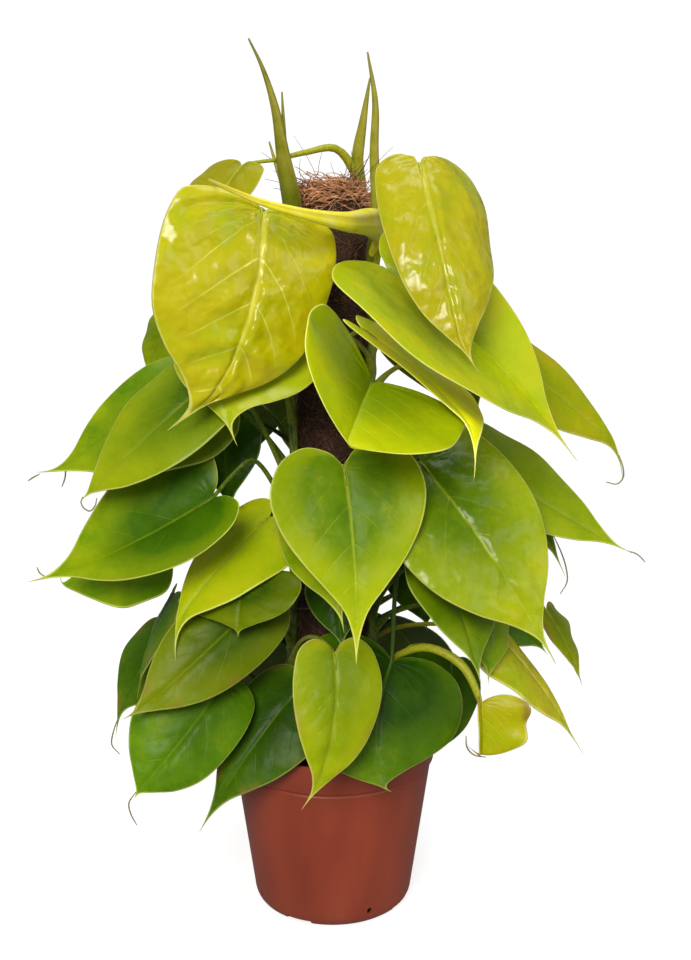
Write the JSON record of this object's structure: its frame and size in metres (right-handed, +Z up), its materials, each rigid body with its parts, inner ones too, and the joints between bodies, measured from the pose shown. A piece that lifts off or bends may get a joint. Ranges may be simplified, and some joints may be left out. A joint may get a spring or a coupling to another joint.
{
  "type": "potted climbing philodendron",
  "caption": "Potted neon heart-leaf philodendron climbing a coir pole in a terracotta-coloured plastic nursery pot.",
  "frame": {"origin": "on the ground, under the middle of the plant's bounding box; the pole's axis is the Z axis", "axes": "+Z up along the pole, -Y towards the viewer of the picture, +X to the viewer's right"},
  "size_m": [0.3363, 0.269, 0.4972],
  "materials": {
    "pot_plastic": "satin",
    "potting_soil": "matte",
    "stake_wood": "matte",
    "coir_fibre": "matte",
    "vine_stem": "satin",
    "leaf_young": "satin",
    "leaf_middle": "satin",
    "leaf_old": "satin"
  },
  "bodies": {
    "root": {"pot": "pot_plastic", "soil": "potting_soil", "pole_stake": "stake_wood", "pole_coir": "coir_fibre", "vine_left": "vine_stem", "vine_right": "vine_stem", "vine_back_right": "vine_stem", "vine_back_left": "vine_stem", "leaf_back_1_1": "leaf_old", "leaf_back_1_2": "leaf_old", "leaf_back_1_3": "leaf_old", "leaf_back_2_1": "leaf_old", "leaf_back_2_2": "leaf_old", "leaf_back_2_3": "leaf_old", "leaf_back_3_1": "leaf_middle", "leaf_back_3_2": "leaf_middle", "leaf_back_3_3": "leaf_middle", "leaf_back_4_1": "leaf_middle", "leaf_back_4_2": "leaf_middle", "leaf_back_5_1": "leaf_young", "leaf_centre_heart": "leaf_middle", "leaf_centre_right": "leaf_middle", "leaf_centre_upper": "leaf_middle", "leaf_front_left_low": "leaf_old", "leaf_front_low": "leaf_middle", "leaf_front_right_low": "leaf_old", "leaf_heart_behind": "leaf_middle", "leaf_heart_under": "leaf_old", "leaf_left_dark": "leaf_old", "leaf_left_edge_a": "leaf_middle", "leaf_left_edge_b": "leaf_old", "leaf_left_hidden": "leaf_old", "leaf_left_low_a": "leaf_middle", "leaf_left_low_b": "leaf_middle", "leaf_left_low_c": "leaf_middle", "leaf_left_low_d": "leaf_old", "leaf_left_mid": "leaf_old", "leaf_left_mid_under": "leaf_old", "leaf_left_upper": "leaf_middle", "leaf_left_upper_front": "leaf_middle", "leaf_right_behind": "leaf_old", "leaf_right_cup": "leaf_young", "leaf_right_dark": "leaf_old", "leaf_right_edge": "leaf_old", "leaf_right_hang": "leaf_middle", "leaf_right_large": "leaf_middle", "leaf_right_low_a": "leaf_young", "leaf_right_low_b": "leaf_middle", "leaf_right_low_back": "leaf_old", "leaf_right_low_dark": "leaf_old", "leaf_right_mid": "leaf_middle", "leaf_right_slim": "leaf_young", "leaf_right_upper": "leaf_old", "leaf_top_back": "leaf_young", "leaf_top_left": "leaf_young", "leaf_top_left_under": "leaf_middle", "leaf_top_right": "leaf_young"}
  },
  "joints": []
}
